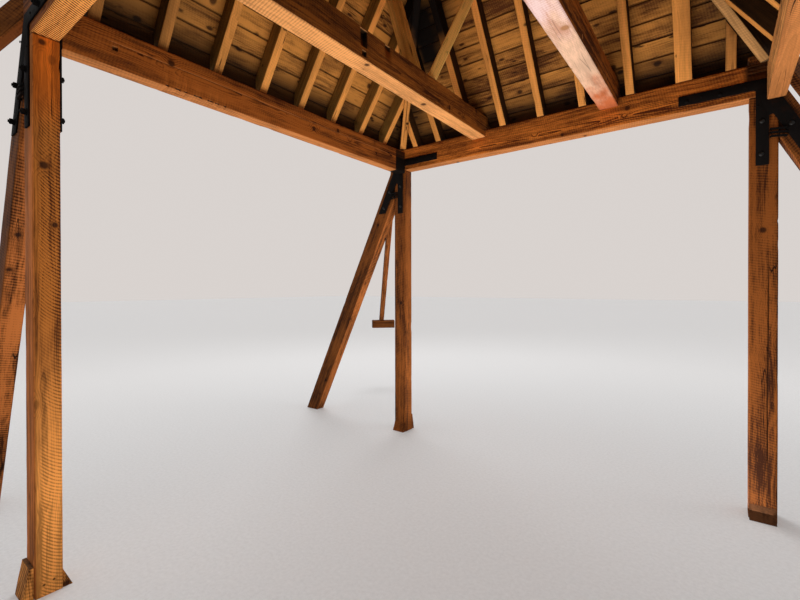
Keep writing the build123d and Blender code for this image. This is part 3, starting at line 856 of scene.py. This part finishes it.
class ROOFFRAME_OT_hips(Build):
    """Hip rafters, the ridge board, the corner props and a packing"""

    bl_idname = "roofframe.hips"
    bl_label = "Hips, ridge and props"

    def build(self):
        for corner, (x_side, _) in CORNERS.items():
            worn_timber(f"hip_rafter_{corner}", *hip_axes(corner), "hip" if x_side > 0 else "rafter",
                        "rafter_timber", step=0.05, width=0.003, wear=0.0015, pith=0.08, chips=0.6,
                        soot=rafter_painted_shade if corner == "rear_left" else None)
        worn_timber("ridge_board", X, Y, "rafter", "rafter_timber", step=0.05, width=0.002, wear=0.001)
        self.props()
        self.packing()

    def props(self):
        """Each prop has its own direction, so they are weathered one at a time."""
        whole = merged_copy("corner_props")
        joined = bmesh.new()
        rng = random.Random(f"{looks().seed} props")
        # The left prop is painted darker and the right one lighter, a painted shade and light for how light
        # falls on them.
        for group, shade in zip(islands(whole), (-1.0, 1.6)):
            bm = whole.copy()
            keep = {v.index for v in group}
            bm.verts.ensure_lookup_table()
            bmesh.ops.delete(bm, geom=[v for v in bm.verts if v.index not in keep], context="VERTS")
            longest = max(bm.edges, key=lambda e: e.calc_length())
            grain = (longest.verts[0].co - longest.verts[1].co).normalized()
            soften(bm, grain, 0.003)
            weather(bm, grain, Z.cross(grain).normalized(), rng, 0.04, 0.002, 0.08, vary=0.0, bias=shade)
            absorb(joined, bm)
        whole.free()
        make_piece("corner_props_worn", joined, "prop", ["corner_props"])

    def packing(self):
        """Three shims under the foot of the rear right hip."""
        bm = bmesh.new()
        right, thick, clear = 1.562, 0.0165, 0.003
        for i, left in enumerate((1.466, 1.470, 1.463)):
            made = bmesh.ops.create_cube(bm, size=1.0)["verts"]
            bmesh.ops.scale(bm, vec=(right - left, 0.085, thick), verts=made)
            place = ((right + left) / 2, 1.538, TIE_TOP + 0.0105 + (thick + clear) * i)
            bmesh.ops.translate(bm, vec=place, verts=made)
        bevel(bm, bm.edges[:], 0.002)
        weather(bm, X, Y, random.Random(looks().seed), 0.02, 0.002, 0.05)
        make_piece("hip_packing_rear_right", bm, "strut", [])


class ROOFFRAME_OT_boarding(Build):
    """Rebated roof boards in courses, cut to the hips and the eaves"""

    bl_idname = "roofframe.boarding"
    bl_label = "Roof boarding"

    def build(self):
        for name in SLOPES:
            joined = bmesh.new()
            for board in self.boards(name, random.Random(f"{looks().seed} boards {name}")):
                absorb(joined, board)
            make_piece(f"roof_boarding_{name}_boards", joined, "board", [f"roof_boarding_{name}"],
                       smooth=30)

    def boards(self, name, rng):
        """Every board of one slope as its own bmesh."""
        p = looks()
        axes = along, up, _ = slope_axes(name)
        inward, foot = SLOPES[name]
        origin = -inward * foot + Z * (TIE_TOP + RAFTER_RISE)
        centres = RAFTERS_X if name in ("rear", "front") else RAFTERS_Y
        worn = {"step": 0.12, "wear": 0.0012, "pith": 0.14, "chips": 0.3, "strip": 1.0}
        # A seam that the photograph shows, 0.155 m up the slope, and on the right the step in the eaves
        seam = 0.155 - 3 * p.course
        if name == "right":
            seam = (foot - BOARDS_OUT) / cos(PITCH)
            low = (foot - BOARDS_OUT_RIGHT) / cos(PITCH)
            strip = self.board(low, seam - low, -TRUSS_IN, TRUSS_IN, origin, axes)
            for point, normal in self.limits(name, BOARDS_OUT_RIGHT):
                trim(strip, point, normal)
            weather(strip, along, up, rng, **worn)
            yield strip
        while seam < RIDGE_SEAM:
            width = p.course * rng.uniform(0.96, 1.04)
            joints = sorted(rng.sample(centres, rng.choice((0, 1, 1, 2))))
            ends = [-2.0, *joints, 2.0]
            for start, stop in zip(ends, ends[1:]):
                board = self.board(seam, width, start, stop, origin, axes)
                for point, normal in self.limits(name, BOARDS_OUT):
                    trim(board, point, normal)
                if len(board.verts) < 8:
                    board.free()
                    continue
                # The left slope's boards are painted lighter, for the light that falls on that slope.
                weather(board, along, up, rng, soot=board_painted_shade, vary=0.6,
                        bias=0.7 if name == "left" else 0.0, **worn)
                yield board
            seam += width

    def board(self, low, width, start, stop, origin, axes):
        """One board: a profile rebated on both edges, run along the eaves."""
        along, up, out = axes
        thick, half, lap, play = 0.020, 0.010, 0.008, 0.001
        gap, high = looks().board_gap, low + width
        over, beneath = half + play, half - play
        step = high - gap - lap
        profile = [(low + gap, 0), (high, 0), (high, over), (step, over), (step, thick), (low - lap, thick),
                   (low - lap, beneath), (low + gap, beneath)]
        bm = bmesh.new()
        ring = [bm.verts.new(origin + up * u + out * w + along * (start + BOARD_PLAY)) for u, w in profile]
        made = bmesh.ops.extrude_face_region(bm, geom=[bm.faces.new(ring)])["geom"]
        bmesh.ops.translate(bm, vec=along * (stop - start - 2 * BOARD_PLAY), verts=only(BMVert, made))
        bmesh.ops.recalc_face_normals(bm, faces=bm.faces)
        bevel(bm, [e for e in bm.edges if runs_along(e, along, 0.99)
                   and all(abs((v.co - origin).dot(out)) < 1e-4 for v in e.verts)], 0.002)
        cut(bm, up, [origin.dot(up) + u for u in (low + gap + 0.008, high - 0.006)])
        return bm

    def limits(self, name, out_x):
        """Planes a slope's boards are cut at, each a point and an outward normal."""
        inward, _ = SLOPES[name]
        square = [(axis * out, axis.normalized()) for axis, out in
                  ((-X, out_x), (X, out_x), (-Y, TRUSS_OUT), (Y, TRUSS_OUT))]
        ends = {"left": RIDGE_LEFT, "right": RIDGE_RIGHT}
        if name in ends:
            mitres = [(ends[name], Vector((inward.x, way, 0))) for way in (-1, 1)]
        else:
            mitres = [(RIDGE_LEFT, Vector((-1, inward.y, 0))), (RIDGE_RIGHT, Vector((1, inward.y, 0))),
                      (0, inward)]
        return square + [(X * end - normal.normalized() * BOARD_PLAY, normal.normalized())
                         for end, normal in mitres]


class ROOFFRAME_OT_ironwork(Build):
    """Three-legged straps with bolts, nuts and nails"""

    bl_idname = "roofframe.ironwork"
    bl_label = "Ironwork"

    # Bolts through both straps, as the rear right corner shows them: X out from the middle, Z, and the
    # thread left beyond the nut. Then the nails: X and Z.
    bolts = [(1.540, 2.694, 0.006), (1.536, 2.474, 0.006), (1.690, 2.648, 0.006), (1.775, 2.478, 0.006),
             (1.312, 2.935, 0.006), (1.113, 2.935, 0.006)]
    nails = [(1.520, 2.801), (1.616, 2.856), (1.646, 2.867), (1.452, 2.944), (1.205, 2.948)]
    # Iron dogs across the joint of post and strut: their two ends
    dogs = [((1.585, 2.630), (1.668, 2.622)), ((1.584, 2.607), (1.667, 2.598)),
            ((1.586, 2.583), (1.664, 2.573))]

    def build(self):
        for corner in CORNERS:
            node = f"iron_straps_{corner}"
            bm = merged_copy(node)
            if corner == "front_left":
                # Here the inner plate's upright leg is nearer the post's arris: its edge shows beside it.
                bmesh.ops.translate(bm, vec=(0.027, 0, 0), verts=[
                    v for v in bm.verts if -1.509 < v.co.x < -1.490 and v.co.y > -TRUSS_IN - 0.0002
                    and v.co.z < TIE_FOOT + 0.06])
            bevel(bm, [e for e in bm.edges if is_bent(e, 60)], 0.0012, segments=2, clamp=True)
            make_piece(f"{node}_forged", bm, "wrought_iron", [node])
            self.fastenings(corner)

    def fastenings(self, corner):
        """Heads face into the room at the rear and nuts face out. The front has nuts on both sides."""
        x_side, y_side = CORNERS[corner]
        head = looks().bolt_head
        heads, rough = bmesh.new(), bmesh.new()
        for way, face in ((1, TRUSS_OUT), (-1, TRUSS_IN)):
            out = Y * y_side * way

            def at(x, z, off=STRAP_OUT * way):
                return Vector((x_side * x, y_side * (face + off), z))

            for x, z, thread in self.bolts:
                if y_side < 0 or way > 0:
                    nut(rough, at(x, z), out, head * 1.05, thread if way > 0 else 0.004)
                elif x < 1.4:
                    dome(rough, at(x, z), out, head * 0.9, 0.007)
                else:
                    dome(heads, at(x, z), out, head, 0.010)
            for x, z in self.nails:
                dome(rough, at(x, z), out, 0.014, 0.004)
            for start, stop in self.dogs:
                dog(rough, at(*start, 0), at(*stop, 0), out, 0.012)
        if heads.verts:
            make_piece(f"strap_bolts_{corner}", heads, "bolt_iron", [])
        else:
            heads.free()
        make_piece(f"strap_nuts_{corner}", rough, "wrought_iron", [])


def dog(bm, start, stop, out, thick):
    """A square-bar staple: two legs driven into the timber and a back that stands off it."""
    before = set(bm.verts)
    along, span, driven, lift = (stop - start).normalized(), (stop - start).length, 0.02, 0.003
    bmesh.ops.create_grid(bm, x_segments=1, y_segments=1, size=thick / 2,
                          matrix=Matrix.Translation((0, -driven, 0)) @ Matrix.Rotation(pi / 2, 4, "X"))
    last = once(f for v in bm.verts if v not in before for f in v.link_faces)
    for centre, move in ((None, (0, driven + lift, 0)), ((thick, lift, 0), None),
                         (None, (span - 2 * thick, 0, 0)), ((span - thick, lift, 0), None),
                         (None, (0, -driven - lift, 0))):
        for _ in range(1 if move else 3):
            last = bmesh.ops.extrude_face_region(bm, geom=last)["geom"]
            verts, last = only(BMVert, last), only(BMFace, last)
            if move:
                bmesh.ops.translate(bm, verts=verts, vec=move)
            else:
                bmesh.ops.rotate(bm, verts=verts, cent=centre, matrix=Matrix.Rotation(-pi / 6, 3, "Z"))
    turned = Matrix((along, out, along.cross(out))).transposed().to_4x4()
    bmesh.ops.transform(bm, verts=[v for v in bm.verts if v not in before],
                        matrix=Matrix.Translation(start) @ turned)


def stand(direction, point):
    """Carries +Z to a direction and the origin to a point."""
    return Matrix.Translation(point) @ direction.to_track_quat("Z", "Y").to_matrix().to_4x4()


def dome(bm, point, direction, wide, high):
    """A domed head: the upper part of a flattened ball."""
    made = bmesh.ops.create_uvsphere(bm, u_segments=16, v_segments=8, radius=wide / 2)["verts"]
    bmesh.ops.scale(bm, verts=made, vec=(1, 1, high / (wide / 2)))
    faces = once(f for v in made for f in v.link_faces)
    edges = once(e for v in made for e in v.link_edges)
    cut_off = bmesh.ops.bisect_plane(bm, geom=made + edges + faces, dist=1e-6, plane_co=(0, 0, 0),
                                     plane_no=(0, 0, -1), clear_outer=True)
    bmesh.ops.holes_fill(bm, edges=only(BMEdge, cut_off["geom_cut"]), sides=0)
    kept = once(v for v in only(BMVert, cut_off["geom"]) if v.is_valid)
    bmesh.ops.transform(bm, matrix=stand(direction, point), verts=kept)


def nut(bm, point, direction, wide, thread):
    """A washer, a six-sided nut and the end of the bolt."""
    washer, top = 0.003, 0.021
    for sides, across, low, high in ((20, wide * 1.2, 0, washer), (6, wide, washer, top),
                                     (12, wide * 0.48, top, top + thread)):
        made = bmesh.ops.create_cone(bm, cap_ends=True, segments=sides, radius1=across / 2,
                                     radius2=across / 2, depth=high - low)["verts"]
        bmesh.ops.translate(bm, vec=(0, 0, (low + high) / 2), verts=made)
        rims = once(e for v in made for e in v.link_edges if is_bent(e, 80))
        made = bevel(bm, rims, 0.0008) + made
        bmesh.ops.transform(bm, matrix=stand(direction, point), verts=once(v for v in made if v.is_valid))


class ROOFFRAME_OT_cleats(Build):
    """Wedge cleats at the posts' feet"""

    bl_idname = "roofframe.cleats"
    bl_label = "Foot cleats"

    def build(self):
        for corner in CORNERS:
            look = {"front_left": "near_cleat", "rear_left": "post"}.get(corner, "cleat")
            worn_timber(f"foot_cleats_{corner}", Z, X, look, "cleat_timber", width=0.003, step=0.012,
                        wear=0.003, pith=0.1, chips=3.0)


class ROOFFRAME_OT_stage(Build):
    """Floor, light and camera"""

    bl_idname = "roofframe.stage"
    bl_label = "Stage"

    def build(self):
        self.floor()
        self.light()
        self.camera()

    def floor(self):
        bm = bmesh.new()
        bmesh.ops.create_grid(bm, x_segments=1, y_segments=1, size=60)
        mesh = bpy.data.meshes.new("floor")
        bm.to_mesh(mesh)
        bm.free()
        s = Shader("floor_pile")
        here = s.node("ShaderNodeTexCoord", (), (), "Object")
        pile = s.noise(here * 260.0, 2.0, 0.6)
        tint = looks().floor
        patch = pile + (s.noise(here * 45.0, 2.0, 0.6) - 0.5) * 1.5
        # The carpet reads as pale as the photograph's by a little glow that only the camera sees.
        seen = s.node("ShaderNodeLightPath", (), (), "Is Camera Ray")
        # The glow grows with distance from the middle, so the far floor is painted brighter: a painted light.
        glow = s.step(s.maths("DISTANCE", here, (0.0, 0.0, 0.0)), 1.5, 8.0, 0.25, 0.46)
        s.feed(s.surface.inputs["Emission Color"], s.mix(seen * glow, (0, 0, 0), looks().backdrop))
        mesh.materials.append(s.finish(s.mix(patch, dim(tint, 0.90), dim(tint, 1.08)), 0.9, pile, 0.002,
                                       Specular_IOR_Level=0.1, Emission_Strength=1.0))
        floor = add_object("floor", mesh)

    def light(self):
        world = bpy.data.worlds.new("studio")
        bpy.context.scene.world = world
        s = Shader("studio", world)
        given = s.tree.nodes["Background"]
        s.feed(given.inputs["Color"], 1.0)
        # More light from the two sides than from the front and the back, and a broad soft lamp on the right
        toward = s.node("ShaderNodeTexCoord", (), (), "Generated")
        across = s.split(toward)[0]
        lamp = s.step(s.maths("DOT_PRODUCT", toward, (0.945, 0.32, 0.07)), 0.86, 0.97)
        s.feed(given.inputs["Strength"], across * (across * 0.42 - 0.20) + lamp * 2.4 + 0.37)
        seen = s.node("ShaderNodeBackground", (), {"Color": looks().backdrop})
        mixed = s.node("ShaderNodeMixShader", (), {
            "Fac": s.node("ShaderNodeLightPath", (), (), "Is Camera Ray"),
            "Shader": Socket(s, given.outputs[0]), "Shader_001": seen})
        s.feed(s.tree.nodes["World Output"].inputs["Surface"], mixed)
        self.lamp("uplight", (0.2, 0.3, 0.06), (0.2, 0.3, 3.0), 2.8, 97)
        self.lamp("top", (-4.0, 4.5, 8.5), (0.0, 0.0, 3.0), 4.0, 260)

    def lamp(self, name, place, target, side, power):
        data = bpy.data.lights.new(name, "AREA")
        data.shape, data.size, data.energy = "SQUARE", side, power
        lamp = add_object(name, data)
        turn = (Vector(target) - Vector(place)).to_track_quat("-Z", "Y")
        lamp.matrix_world = Matrix.Translation(place) @ turn.to_matrix().to_4x4()
        lamp.visible_camera = False

    def camera(self):
        data = bpy.data.cameras.new("camera")
        data.sensor_width, data.lens = SENSOR, SENSOR * FOCAL_PIXELS / PICTURE_PIXELS
        data.shift_x, data.shift_y = CAMERA_SHIFT
        data.clip_start, data.clip_end = 0.05, 200
        camera = add_object("camera", data)
        pitch, yaw, roll = CAMERA_TURN
        camera.matrix_world = (Matrix.Translation(CAMERA_PLACE) @ Matrix.Rotation(yaw, 4, "Z")
                               @ Matrix.Rotation(pi / 2 + pitch, 4, "X") @ Matrix.Rotation(roll, 4, "Z"))
        scene = bpy.context.scene
        scene.camera = camera
        scene.view_settings.view_transform = "Standard"


OPERATORS = Build.__subclasses__()


class ROOFFRAME_PT_panel(bpy.types.Panel):
    """Lists the operators and what can be changed"""

    bl_label = "Roof frame"
    bl_idname = "ROOFFRAME_PT_panel"
    bl_space_type = "VIEW_3D"
    bl_region_type = "UI"
    bl_category = "Roof frame"

    def draw(self, context):
        for key in RoofFrameLooks.__annotations__:
            self.layout.prop(context.scene.roof_frame_looks, key)
        for operator in OPERATORS:
            self.layout.operator(operator.bl_idname)


CLASSES = [RoofFrameLooks, *OPERATORS, ROOFFRAME_PT_panel]


def register():
    for item in CLASSES:
        bpy.utils.register_class(item)
    bpy.types.Scene.roof_frame_looks = PointerProperty(type=RoofFrameLooks)


def unregister():
    del bpy.types.Scene.roof_frame_looks
    for item in reversed(CLASSES):
        bpy.utils.unregister_class(item)


def main():
    register()
    for operator in OPERATORS:
        getattr(bpy.ops.roofframe, operator.bl_idname.split(".")[1])()


if __name__ == "__main__":
    main()
